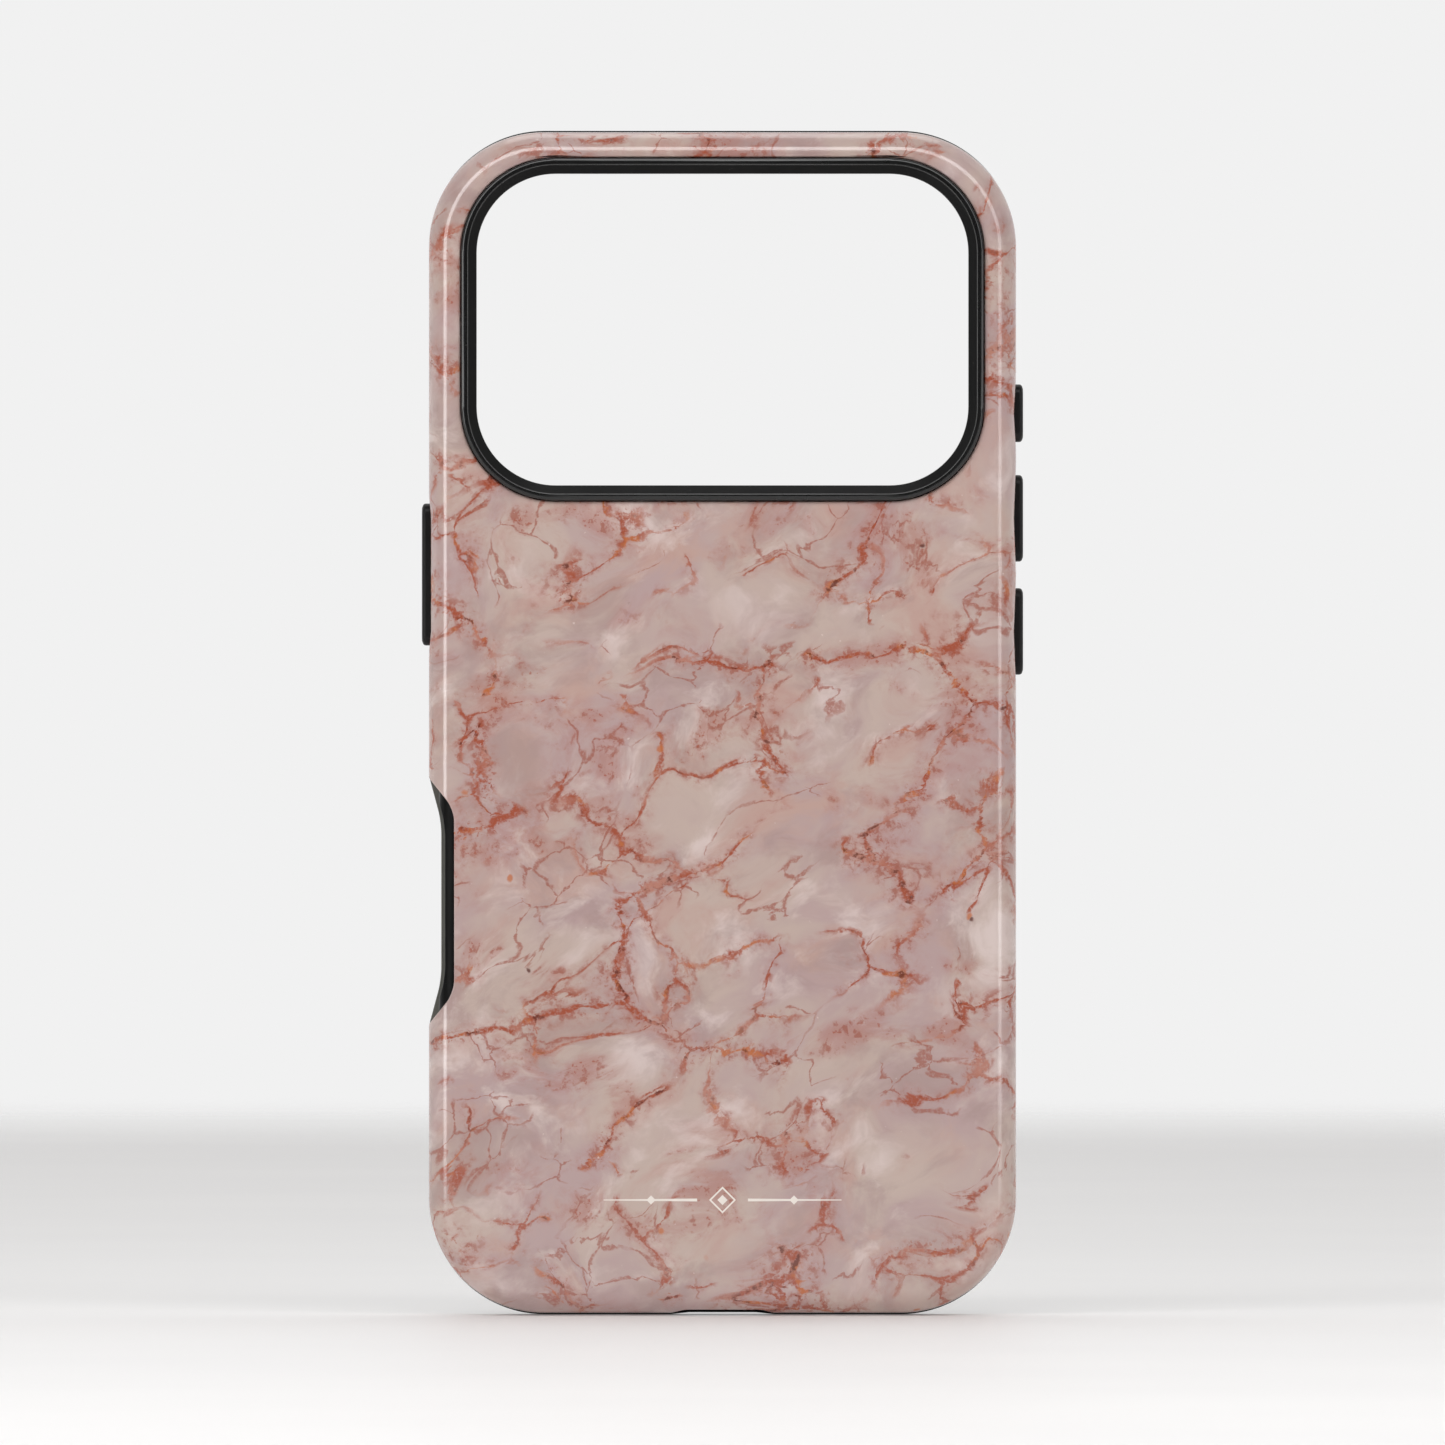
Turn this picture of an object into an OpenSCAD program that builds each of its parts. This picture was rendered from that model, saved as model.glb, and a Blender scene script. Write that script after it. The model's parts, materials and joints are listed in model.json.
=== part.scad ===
// Two-layer phone case: a hard printed shell over a soft liner that carries the keys.
// X runs across the case, Z up the case and Y from the printed back (-Y) to the open front (+Y).
// The origin is the middle of the face that the phone's back rests on.
// Sections are drawn lying down, with the depth d = -Y pointing out of the printed back.

/* [Phone it fits] */
// Width of the phone
phone_w = 71.9; // [70:0.1:78]
// Height of the phone
phone_h = 150; // [146:0.5:164]
// Thickness of the phone
phone_t = 8.75; // [8.2:0.05:9.2]
// Clearance round the phone
fit_gap = 0.15; // [0.1:0.05:0.2]

/* [Hard shell] */
// Side wall of the shell
shell_wall = 1.3; // [1.2:0.05:1.5]
// Back wall of the shell
shell_back = 1.15; // [1:0.05:1.4]
// Outer corner radius seen from the back
corner_r = 15.1; // [14:0.1:17]
// Rounding of the shell's back edge
edge_r = 3.3; // [2.8:0.1:3.4]
// Reach of the shell's side wall in front of the phone's back
shell_reach = 8; // [7.8:0.1:8.2]

/* [Soft liner] */
// Side wall of the liner
liner_wall = 1.2; // [1:0.05:1.4]
// Floor of the liner
liner_floor = 1.1; // [0.9:0.05:1.3]
// Gap between shell and liner
skin_gap = 0.05; // [0.03:0.01:0.08]
// Rounding inside, where the walls meet the floor
seat_r = 0.9; // [0.6:0.1:1.2]
// How far the front lip covers the phone's edge
lip_hold = 1; // [0.6:0.1:1.4]
// How far the front lip stands in front of the phone
lip_guard = 1.15; // [0.8:0.05:1.5]
// How far the lip stands past the shell at the top and bottom
lip_proud = 0.35; // [0:0.05:0.45]

/* [Camera window] */
// Rim of the shell left at each side of the window
window_side_rim = 4.2; // [4.2:0.1:6]
// Rim of the shell left above the window
window_top_rim = 3.4; // [3.4:0.1:5]
// Height of the window in the shell
window_h = 45.2; // [43:0.1:48]
// Corner radius of the window in the shell
window_r = 12.5; // [11:0.5:14]
// Wall of the liner's collar round the window
collar_wall = 2; // [1.8:0.1:2.2]
// Height of the collar above the shell's back
collar_proud = 0.9; // [0.6:0.1:1.2]

/* [Keys] */
// Width of each key, measured through the case
key_w = 3.6; // [3.2:0.1:3.8]
// How far the keys stand out of the shell's side
key_proud = 0.95; // [0.6:0.05:1.2]
// Inward travel of each key
key_travel = 0.4; // [0.2:0.05:0.4]
// Width of the thin web round each key
web_w = 0.9; // [0.8:0.05:1]
// Thickness of the web
web_t = 0.45; // [0.35:0.05:0.5]
// Gap between a key and the shell's window
key_gap = 0.55; // [0.4:0.05:0.6]
// Depth of the shallow scoop round each key
scoop_d = 0.25; // [0.1:0.05:0.3]
// Length of the action key
action_len = 7.6; // [7:0.1:9]
// Height of the action key above the case's middle
action_z = 40.75; // [40:0.25:41.5]
// Length of each volume key
volume_len = 11.4; // [10.5:0.1:11.6]
// Height of the upper volume key
volume_up_z = 26.9; // [26.5:0.1:27.5]
// Height of the lower volume key
volume_down_z = 12; // [11.5:0.25:12.5]
// Length of the side key
side_len = 18.7; // [16:0.1:20]
// Height of the side key
side_z = 19.5; // [17:0.25:21]

/* [Recess for the touch control, left side] */
// Height of the recess's middle
recess_z = -23.5; // [-28:0.25:-18]
// Full length of the recess
recess_len = 32.4; // [30:0.1:36]
// Depth of the recess in the shell
recess_d = 3.35; // [3:0.05:3.4]
// Slope of the recess's ramps in the shell, in degrees
recess_slope = 39; // [35:1:45]
// Radius where the shell's ramps meet the flat
recess_r = 4.6; // [3:0.1:6]
// Depth of the recess in the liner
liner_recess_d = 1.55; // [1.5:0.05:1.7]
// Slope of the recess's ramps in the liner, in degrees
liner_recess_slope = 15; // [14:1:20]
// Radius where the liner's ramps meet the flat
liner_recess_r = 12; // [8:0.5:14]
// How much deeper the liner's wall is cut behind the front lip
wall_recess_d = 0.58; // [0.4:0.02:0.6]
// Full length of the deeper cut in the liner's wall
wall_recess_len = 36; // [34:0.5:38]
// Length of the window over the control
control_len = 21; // [16:0.5:21]
// Width of the window over the control
control_w = 5.2; // [4.2:0.1:5.4]

/* [Charging port, bottom] */
// Width of the shell's notch
notch_w = 13.8; // [13:0.1:15]
// Corner radius of the notch
notch_r = 2.5; // [2:0.1:3]
// How far behind the phone's back the notch starts
notch_back = 0.55; // [0.3:0.05:0.7]
// Width of the opening in the liner
port_w = 12.4; // [11:0.1:12.8]
// Height of the opening in the liner
port_h = 6.2; // [5.6:0.1:6.2]
// Step of the lip in front of the port
port_step = 0.27; // [0.1:0.01:0.3]
// Length of each speaker slot
speaker_len = 9.6; // [8:0.2:10]
// Width of each speaker slot
speaker_w = 2.4; // [2:0.1:3]
// Distance of each speaker slot from the middle
speaker_x = 16.4; // [15.5:0.1:16.6]

/* [Inside pattern] */
// Distance between the shallow hexagons in the liner's floor
hex_pitch = 8; // [7:0.5:10]
// Rib left between two hexagons
hex_rib = 1.2; // [1:0.1:2]
// Depth of the hexagons
hex_d = 0.3; // [0.2:0.05:0.4]

/* [Hidden] */
$fn = 96;
over = 1;
reach = 60;
cavity_x = phone_w / 2 + fit_gap;
cavity_y = phone_h / 2 + fit_gap;
liner_x = cavity_x + liner_wall;
liner_y = cavity_y + liner_wall;
case_x = liner_x + skin_gap + shell_wall;
case_y = liner_y + skin_gap + shell_wall;
centre_x = case_x - corner_r;
centre_y = case_y - corner_r;
back_d = liner_floor + skin_gap + shell_back;
inner_edge_r = edge_r - liner_wall;
lip_x = case_x - skin_gap;
lip_y = case_y + lip_proud;
lip_gap = 0.1;
lip_back = shell_reach + lip_gap;
lip_hook = phone_t + lip_gap;
lip_front = lip_hook + lip_guard;
lip_round = 0.5;
lip_root = 0.1;
wall_root = 0.3;
wall_front = lip_hook + wall_root;
key_d = phone_t / 2;
key_round = 0.35;
key_r = 1.3;
key_clear = 0.05;
key_inner = cavity_x + key_travel + key_clear;
key_outer = case_x + key_proud;
key_root = 2;
web_inset = 0.5;
web_inner = cavity_x + web_inset;
scoop_run = 1.1;
scoop_slope = 0.8;
window_x = case_x - window_side_rim;
window_y = window_h / 2;
window_z = case_y - window_top_rim - window_y;
collar_gap = 0.1;
collar_root = 0.5;
collar_low = 0.3;
collar_top = back_d + collar_proud;
bead_r = 0.4;
funnel_d = 1.6;
port_flat = 8.7;
port_side = 0.6;
slot_rim = 0.3;
bar_len = 4;
hair = 0.01;
hex_margin = 6;

// Stands a lying shape up in the frame of the case
module upright() {
    rotate([90, 0, 0]) children();
}

// Rounded rectangle by its half sizes
module plate_2d(x, y, r) {
    square([2 * x - 2 * r, 2 * y], center = true);
    square([2 * x, 2 * y - 2 * r], center = true);
    for (sx = [-1, 1])
        for (sy = [-1, 1])
            translate([sx * (x - r), sy * (y - r)]) circle(r);
}

// Sweeps a section of distance and depth round a rectangle of corner centres
module sweep(x, y) {
    for (turn = [0, 180])
        rotate([0, 0, turn]) {
            translate([x, y, 0]) rotate_extrude(angle = 90) children();
            translate([-x, y, 0]) rotate([0, 0, 90]) rotate_extrude(angle = 90) children();
            translate([x, y, 0]) rotate([90, 0, 0]) linear_extrude(2 * y) children();
            translate([-x, y, 0]) rotate([90, 0, 90]) linear_extrude(2 * x) children();
        }
}

// Section from a corner centre out to a side wall, rounded at its outer top corner
module side_2d(out, low, high, r) {
    translate([0, low]) square([out, high - low - r]);
    translate([0, low]) square([out - r, high - low]);
    translate([out - r, high - r]) circle(r);
}

// Tray of a floor between two depths and a swept wall
module tray(floor_low, floor_high) {
    sweep(centre_x, centre_y) children();
    translate([-centre_x, -centre_y, floor_low])
        cube([2 * centre_x, 2 * centre_y, floor_high - floor_low]);
}

// Bar with a rounded section through a side wall, from one distance to another
module side_bar(len, wide, r, x0, x1) {
    translate([x0, 0, -key_d]) rotate([90, 0, 90]) linear_extrude(x1 - x0)
        plate_2d(len / 2, wide / 2, r);
}

// Bar with a rounded section through the bottom wall
module bottom_bar(half_w, low, high, r) {
    translate([0, -case_y + bar_len, (low + high) / 2]) rotate([90, 0, 0]) linear_extrude(bar_len + over)
        plate_2d(half_w, (high - low) / 2, r);
}

// Places a shape beside the right or the left side, at a height
module at_side(side, z) {
    translate([0, z, 0]) mirror([side < 0 ? 1 : 0, 0, 0]) children();
}

// Repeats a shape for every key, with its length in $key_len
module each_key() {
    at_side(1, action_z) let ($key_len = action_len) children();
    at_side(1, volume_up_z) let ($key_len = volume_len) children();
    at_side(1, volume_down_z) let ($key_len = volume_len) children();
    at_side(-1, side_z) let ($key_len = side_len) children();
}

// Shallow scoop with slanting ends beside a key
module scoop_cut() {
    deep = $key_len / 2 + scoop_run - scoop_slope / 2;
    wide = $key_len / 2 + scoop_run + scoop_slope / 2;
    translate([0, 0, -reach / 2]) linear_extrude(reach)
        polygon([
            [case_x - scoop_d, -deep],
            [case_x, -wide],
            [case_x + over, -wide],
            [case_x + over, wide],
            [case_x, wide],
            [case_x - scoop_d, deep]
        ]);
}

// Recess in the left side, behind a given distance in front of the phone's back;
// each end is a straight ramp and an arc that meets the flat
module recess_cut(deep, slope, r, len, front) {
    flat_end = len / 2 - deep / tan(slope) - r * tan(slope / 2);
    steps = 6;
    arc = [for (i = [0 : steps]) let (a = slope * i / steps)
        [deep - r + r * cos(a), flat_end + r * sin(a)]];
    upper = concat(arc, [[0, len / 2]]);
    lower = [for (i = [len(upper) - 1 : -1 : 0]) [upper[i][0], -upper[i][1]]];
    outside = [[-over, len / 2], [-over, -len / 2]];
    translate([-case_x, recess_z, -front]) linear_extrude(reach)
        polygon(concat(lower, upper, outside));
}

// Step in the lip's outline in front of the charging port
module port_step_cut() {
    translate([0, -lip_y, -reach / 2]) linear_extrude(reach)
        polygon([
            [-notch_w / 2, 0],
            [-port_flat / 2, port_step],
            [port_flat / 2, port_step],
            [notch_w / 2, 0],
            [notch_w / 2, -over],
            [-notch_w / 2, -over]
        ]);
}

// Shallow hexagons in the floor below the camera window
module hexagons() {
    row = hex_pitch * cos(30);
    low = -cavity_y + hex_margin;
    high = window_z - window_y - hex_margin;
    count = floor((high - low) / row);
    across = floor((cavity_x - hex_margin) / hex_pitch);
    for (j = [0 : count])
        for (i = [-across : across - j % 2])
            translate([(i + (j % 2) / 2) * hex_pitch, low + j * row, -over])
                rotate([0, 0, 30])
                    cylinder(h = over + hex_d, r = (hex_pitch - hex_rib) / 2 / cos(30), $fn = 6);
}

// Hard printed shell: back, rounded edge and side walls
module outer_shell() {
    color("rosybrown") upright() difference() {
        tray(liner_floor + skin_gap, back_d)
            difference() {
                side_2d(corner_r, -shell_reach, back_d, edge_r);
                side_2d(corner_r - shell_wall, -shell_reach - over, back_d - shell_back, inner_edge_r);
            }
        translate([0, window_z, 0]) linear_extrude(reach) plate_2d(window_x, window_y, window_r);
        each_key() scoop_cut();
        each_key() side_bar(
            $key_len + 2 * key_gap, key_w + 2 * key_gap, key_r + key_gap, cavity_x, key_outer
        );
        recess_cut(recess_d, recess_slope, recess_r, recess_len, reach / 2);
        bottom_bar(notch_w / 2, -2 * shell_reach, notch_back, notch_r);
        for (side = [-1, 1])
            translate([side * speaker_x, 0, 0]) bottom_bar(
                speaker_len / 2 + slot_rim,
                -key_d - speaker_w / 2 - slot_rim,
                -key_d + speaker_w / 2 + slot_rim,
                speaker_w / 2 + slot_rim - hair
            );
    }
}

// Section of the front lip: a bead over the shell's front edge and a hook over the phone
module lip_2d() {
    hook = phone_w / 2 - lip_hold - (lip_x - corner_r);
    bead = cavity_x + lip_root - (lip_x - corner_r);
    translate([hook, lip_round - lip_front])
        square([corner_r - hook, lip_front - lip_round - lip_hook]);
    translate([bead, lip_round - lip_front])
        square([corner_r - bead, lip_front - lip_round - lip_back]);
    translate([hook + lip_round, -lip_front])
        square([corner_r - hook - 2 * lip_round, 2 * lip_round]);
    translate([hook + lip_round, lip_round - lip_front]) circle(lip_round);
    translate([corner_r - lip_round, lip_round - lip_front]) circle(lip_round);
}

// Section of the collar round the camera window: a bead outside, a funnel inside
module collar_2d(inner, outer) {
    bead_d = collar_top - bead_r;
    translate([outer - bead_r, bead_d]) circle(bead_r);
    polygon([
        [inner - collar_root, collar_low],
        [outer, collar_low],
        [outer, bead_d],
        [outer - 2 * bead_r, bead_d],
        [inner, funnel_d],
        [inner - collar_root, funnel_d]
    ]);
}

// Soft liner: floor, side walls, front lip and the collar round the camera window
module inner_liner() {
    out = corner_r - shell_wall - skin_gap;
    outer_r = window_r - collar_gap;
    inner_r = outer_r - collar_wall;
    outer_x = window_x - collar_gap;
    outer_y = window_y - collar_gap;
    color("#1b1b1d") upright() difference() {
        union() {
            tray(0, liner_floor)
                difference() {
                    side_2d(out, -wall_front, liner_floor, inner_edge_r);
                    side_2d(out - liner_wall, -wall_front - over, 0, seat_r);
                }
            sweep(lip_x - corner_r, lip_y - corner_r) lip_2d();
            translate([0, window_z, 0]) sweep(outer_x - outer_r, outer_y - outer_r)
                collar_2d(inner_r, outer_r);
        }
        translate([0, window_z, -over]) linear_extrude(reach)
            plate_2d(outer_x - collar_wall, outer_y - collar_wall, inner_r);
        each_key() scoop_cut();
        each_key() side_bar(
            $key_len + 2 * web_w, key_w + 2 * web_w, key_r + web_w, cavity_x - over, case_x
        );
        recess_cut(liner_recess_d, liner_recess_slope, liner_recess_r, recess_len, reach / 2);
        recess_cut(
            liner_recess_d + wall_recess_d, liner_recess_slope, liner_recess_r, wall_recess_len, lip_back
        );
        at_side(-1, recess_z) side_bar(
            control_len, control_w, control_w / 2 - hair, cavity_x - over, case_x
        );
        bottom_bar(port_w / 2, -key_d - port_h / 2, -key_d + port_h / 2, port_h / 2 - port_side);
        port_step_cut();
        for (side = [-1, 1])
            translate([side * speaker_x, 0, 0]) bottom_bar(
                speaker_len / 2, -key_d - speaker_w / 2, -key_d + speaker_w / 2, speaker_w / 2 - hair
            );
        hexagons();
    }
}

// Key that passes through the shell, rounded along its outer edges
module key(side, z, len) {
    half = (key_outer - key_inner) / 2 + key_root;
    color("#151517") upright() at_side(side, z) intersection() {
        side_bar(len, key_w, key_r, key_inner, key_outer);
        translate([key_outer - half, 0, -reach / 2]) linear_extrude(reach)
            plate_2d(half, len / 2, key_round);
        translate([key_outer - half, reach / 2, -key_d]) rotate([90, 0, 0]) linear_extrude(reach)
            plate_2d(half, key_w / 2, key_round);
    }
}

module action_button() {
    key(1, action_z, action_len);
}

module volume_up_button() {
    key(1, volume_up_z, volume_len);
}

module volume_down_button() {
    key(1, volume_down_z, volume_len);
}

module side_button() {
    key(-1, side_z, side_len);
}

// Thin web that lets a key move in its window of the liner
module web(side, z, len) {
    color("#202023") upright() at_side(side, z) difference() {
        side_bar(len + 2 * web_w, key_w + 2 * web_w, key_r + web_w, web_inner, web_inner + web_t);
        side_bar(len, key_w, key_r, web_inner - over, web_inner + over);
    }
}

module action_button_web() {
    web(1, action_z, action_len);
}

module volume_up_button_web() {
    web(1, volume_up_z, volume_len);
}

module volume_down_button_web() {
    web(1, volume_down_z, volume_len);
}

module side_button_web() {
    web(-1, side_z, side_len);
}

outer_shell();
inner_liner();
action_button();
volume_up_button();
volume_down_button();
side_button();
action_button_web();
volume_up_button_web();
volume_down_button_web();
side_button_web();
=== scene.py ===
import json
import math
import bmesh
import bpy
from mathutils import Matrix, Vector


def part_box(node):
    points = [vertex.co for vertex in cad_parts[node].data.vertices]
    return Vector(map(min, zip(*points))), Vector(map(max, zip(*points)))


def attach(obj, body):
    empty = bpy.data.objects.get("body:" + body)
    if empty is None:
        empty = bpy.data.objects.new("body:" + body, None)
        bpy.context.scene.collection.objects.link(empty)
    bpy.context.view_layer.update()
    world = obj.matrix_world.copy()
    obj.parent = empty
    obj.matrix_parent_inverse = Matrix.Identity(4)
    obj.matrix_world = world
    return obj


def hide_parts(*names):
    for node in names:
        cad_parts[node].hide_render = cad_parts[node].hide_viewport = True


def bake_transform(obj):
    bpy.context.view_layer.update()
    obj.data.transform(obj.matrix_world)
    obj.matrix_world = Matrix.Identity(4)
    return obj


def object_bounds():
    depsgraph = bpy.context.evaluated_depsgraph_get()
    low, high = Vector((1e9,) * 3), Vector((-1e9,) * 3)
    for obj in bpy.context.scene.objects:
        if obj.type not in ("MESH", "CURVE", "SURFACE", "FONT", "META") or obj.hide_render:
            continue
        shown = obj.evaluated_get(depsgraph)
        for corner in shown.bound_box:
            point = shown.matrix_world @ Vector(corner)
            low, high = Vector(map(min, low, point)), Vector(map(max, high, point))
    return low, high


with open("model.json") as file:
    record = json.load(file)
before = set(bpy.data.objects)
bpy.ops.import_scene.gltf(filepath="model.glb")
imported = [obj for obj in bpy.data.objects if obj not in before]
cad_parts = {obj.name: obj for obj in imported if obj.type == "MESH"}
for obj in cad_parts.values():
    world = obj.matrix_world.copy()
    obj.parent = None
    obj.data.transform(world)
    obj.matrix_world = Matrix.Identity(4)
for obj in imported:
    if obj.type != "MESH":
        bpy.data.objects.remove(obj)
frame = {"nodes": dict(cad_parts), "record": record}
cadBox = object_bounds()
mm = 0.001
hair = 1e-6  # metres: places closer than this are the same place
past = 2 * mm  # how far a cutter reaches beyond what it cuts
print("frame loaded with", len(frame["nodes"]), "nodes")


# working with one piece at a time

def leaveEditing():
    if bpy.context.mode != "OBJECT":
        bpy.ops.object.mode_set(mode="OBJECT")
    bpy.ops.object.select_all(action="DESELECT")


def takeUp(piece):
    leaveEditing()
    piece.select_set(True)
    bpy.context.view_layer.objects.active = piece


def startEditing(piece):
    takeUp(piece)
    bpy.ops.object.mode_set(mode="EDIT")
    bpy.ops.mesh.select_all(action="DESELECT")


def pick(piece, kind, test):
    # selects the corners, edges or faces that pass the test
    bpy.ops.mesh.select_mode(type=kind)
    bpy.ops.mesh.select_all(action="DESELECT")
    cage = bmesh.from_edit_mesh(piece.data)
    parts = {"VERT": cage.verts, "EDGE": cage.edges, "FACE": cage.faces}[kind]
    for part in parts:
        if test(part):
            part.select_set(True)
    cage.select_flush_mode()
    bmesh.update_edit_mesh(piece.data)


def block(name, low, high, along="Y", corner=0.0, cornerSteps=16, rims=()):
    # a cube at its place: its corners along one axis are rounded, then the rims of its ends
    leaveEditing()
    low, high = Vector(low), Vector(high)
    bpy.ops.mesh.primitive_cube_add(size=1, location=(low + high) / 2, scale=high - low)
    bpy.ops.object.transform_apply(location=True, rotation=True, scale=True)
    piece = bpy.context.object
    piece.name = name
    axis = "XYZ".index(along)
    startEditing(piece)
    if corner:
        pick(piece, "EDGE", lambda edge: abs(edge.verts[0].co[axis] - edge.verts[1].co[axis]) > hair)
        bpy.ops.mesh.bevel(offset=corner, segments=cornerSteps, affect="EDGES")
    for end, radius, steps in rims:
        place = (low if end == "low" else high)[axis]
        pick(piece, "EDGE", lambda edge: max(abs(v.co[axis] - place) for v in edge.verts) < hair)
        bpy.ops.mesh.bevel(offset=radius, segments=steps, affect="EDGES")
    leaveEditing()
    return piece


def merge(piece, other, how):
    takeUp(piece)
    step = piece.modifiers.new(how.lower(), "BOOLEAN")
    step.operation = how
    step.solver = "EXACT"
    step.object = other
    bpy.ops.object.modifier_apply(modifier=step.name)
    bpy.data.objects.remove(other, do_unlink=True)


def carve(piece, *cutters):
    for cutter in cutters:
        merge(piece, cutter, "DIFFERENCE")


def roundEdges(piece, radius, steps, test):
    startEditing(piece)
    bpy.ops.mesh.select_all(action="SELECT")
    bpy.ops.mesh.remove_doubles(threshold=0.002 * mm)
    pick(piece, "EDGE", test)
    bpy.ops.mesh.bevel(offset=radius, segments=steps, affect="EDGES", clamp_overlap=False)
    leaveEditing()


def polish(piece, soften, steps=2, sharp=30, smooth=38):
    # merges what the cuts left, rounds each sharp edge a little, and shades it smooth
    startEditing(piece)
    bpy.ops.mesh.select_all(action="SELECT")
    bpy.ops.mesh.remove_doubles(threshold=0.004 * mm)
    bpy.ops.mesh.dissolve_degenerate(threshold=0.004 * mm)
    takeUp(piece)
    if soften:
        bevel = piece.modifiers.new("soften", "BEVEL")
        bevel.width = soften
        bevel.segments = steps
        bevel.limit_method = "ANGLE"
        bevel.angle_limit = math.radians(sharp)
        bevel.use_clamp_overlap = False
        bevel.miter_outer = "MITER_ARC"
        bpy.ops.object.modifier_apply(modifier=bevel.name)
    bpy.ops.object.shade_smooth_by_angle(angle=math.radians(smooth))
    normals = piece.modifiers.new("normals", "WEIGHTED_NORMAL")
    normals.keep_sharp = True
    normals.weight = 80
    bpy.ops.object.modifier_apply(modifier=normals.name)
    bpy.ops.object.select_all(action="DESELECT")


def splitAt(piece, crossings, test=lambda face: True):
    # cuts across the faces, so that no later hole lies inside a single face
    startEditing(piece)
    for axis, place in crossings:
        normal = Vector([float(letter == axis) for letter in "XYZ"])
        pick(piece, "FACE", test)
        bpy.ops.mesh.bisect(plane_co=normal * place, plane_no=normal)
    leaveEditing()


def setMaterial(piece, finish):
    piece.data.materials.clear()
    piece.data.materials.append(finish.material)


# sums on shader sockets

class Reading:
    # one socket that takes part in sums

    def __init__(self, finish, socket):
        self.finish = finish
        self.socket = socket

    def __add__(self, other):
        return self.finish.maths("ADD", self, other)

    __radd__ = __add__

    def __sub__(self, other):
        return self.finish.maths("SUBTRACT", self, other)

    def __rsub__(self, other):
        return self.finish.maths("SUBTRACT", other, self)

    def __mul__(self, other):
        return self.finish.maths("MULTIPLY", self, other)

    __rmul__ = __mul__

    def __truediv__(self, other):
        return self.finish.maths("DIVIDE", self, other)


class Finish:
    # one node material, built from the texture side to the shader

    def __init__(self, name):
        self.material = bpy.data.materials.new(name)
        self.material.use_nodes = True
        self.tree = self.material.node_tree
        self.tree.nodes.clear()

    def node(self, kind, settings=None, sockets=None, output=0):
        made = self.tree.nodes.new(kind)
        for word, value in (settings or {}).items():
            if word == "stops":
                ramp = made.color_ramp
                while len(ramp.elements) < len(value):
                    ramp.elements.new(0.5)
                for element, (place, colour) in zip(ramp.elements, value):
                    element.position = place
                    element.color = colour
            else:
                setattr(made, word, value)
        for place, value in (sockets or {}).items():
            if isinstance(value, Reading):
                self.tree.links.new(value.socket, made.inputs[place])
            else:
                made.inputs[place].default_value = value
        return Reading(self, made.outputs[output]) if made.outputs else None

    def maths(self, operation, *values):
        return self.node("ShaderNodeMath", {"operation": operation}, dict(enumerate(values)))

    def vectors(self, operation, *values):
        return self.node("ShaderNodeVectorMath", {"operation": operation}, dict(enumerate(values)))

    def place(self):
        # where the point is, in millimetres
        coords = self.node("ShaderNodeTexCoord", output="Object")
        return self.vectors("MULTIPLY", coords, (1000, 1000, 1000))

    def along(self, vector, axis):
        return self.node("ShaderNodeSeparateXYZ", None, {0: vector}, axis)

    def turned(self, vector, shift=(0, 0, 0), turn=(0, 0, 0), scale=(1, 1, 1)):
        return self.node("ShaderNodeMapping", None,
                         {"Vector": vector, "Location": shift, "Rotation": turn, "Scale": scale})

    def noise(self, vector, size, detail=3.0, rough=0.5, output="Fac"):
        return self.node("ShaderNodeTexNoise", {"noise_dimensions": "3D"},
                         {"Vector": vector, "Scale": 1 / size, "Detail": detail, "Roughness": rough},
                         output)

    def cells(self, vector, size, feature="DISTANCE_TO_EDGE", output="Distance"):
        return self.node("ShaderNodeTexVoronoi", {"feature": feature},
                         {"Vector": vector, "Scale": 1 / size}, output)

    def step(self, value, start, end, low=0.0, high=1.0):
        # smooth change from low to high while value goes from start to end
        return self.node("ShaderNodeMapRange", {"interpolation_type": "SMOOTHSTEP"},
                         {"Value": value, "From Min": start, "From Max": end,
                          "To Min": low, "To Max": high})

    def patches(self, vector, size, detail, rough, start, end, low=0.0, high=1.0):
        # soft-edged patches: a noise that counts from start on, and in full from end on
        return self.step(self.noise(vector, size, detail, rough), start, end, low, high)

    def blend(self, amount, first, second):
        return self.node("ShaderNodeMix", {"data_type": "RGBA"}, {0: amount, 6: first, 7: second}, 2)

    def length(self, vector):
        return self.node("ShaderNodeVectorMath", {"operation": "LENGTH"}, {0: vector}, 1)

    def bent(self, vector, size, reach, detail=2.0):
        # the point moved by a noise, up to about half of reach each way
        push = self.noise(vector, size, detail, 0.5, "Color")
        push = self.vectors("SUBTRACT", push, (0.5, 0.5, 0.5))
        push = self.vectors("MULTIPLY", push, (reach, reach, reach))
        return self.vectors("ADD", vector, push)

    def bump(self, height, depth, strength=1.0):
        # height from 0 to 1 stands for a relief of depth
        return self.node("ShaderNodeBump", None,
                         {"Strength": strength, "Distance": depth, "Height": height}, "Normal")

    def shader(self, sockets):
        surface = self.node("ShaderNodeBsdfPrincipled", None, sockets, "BSDF")
        self.node("ShaderNodeOutputMaterial", None, {"Surface": surface})
        return self


def tint(red, green, blue):
    # a colour picked on a screen, as the shader wants it
    parts = [value / 255 for value in (red, green, blue)]
    parts = [p / 12.92 if p <= 0.04045 else ((p + 0.055) / 1.055) ** 2.4 for p in parts]
    return (*parts, 1.0)


# places that every piece shares

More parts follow.
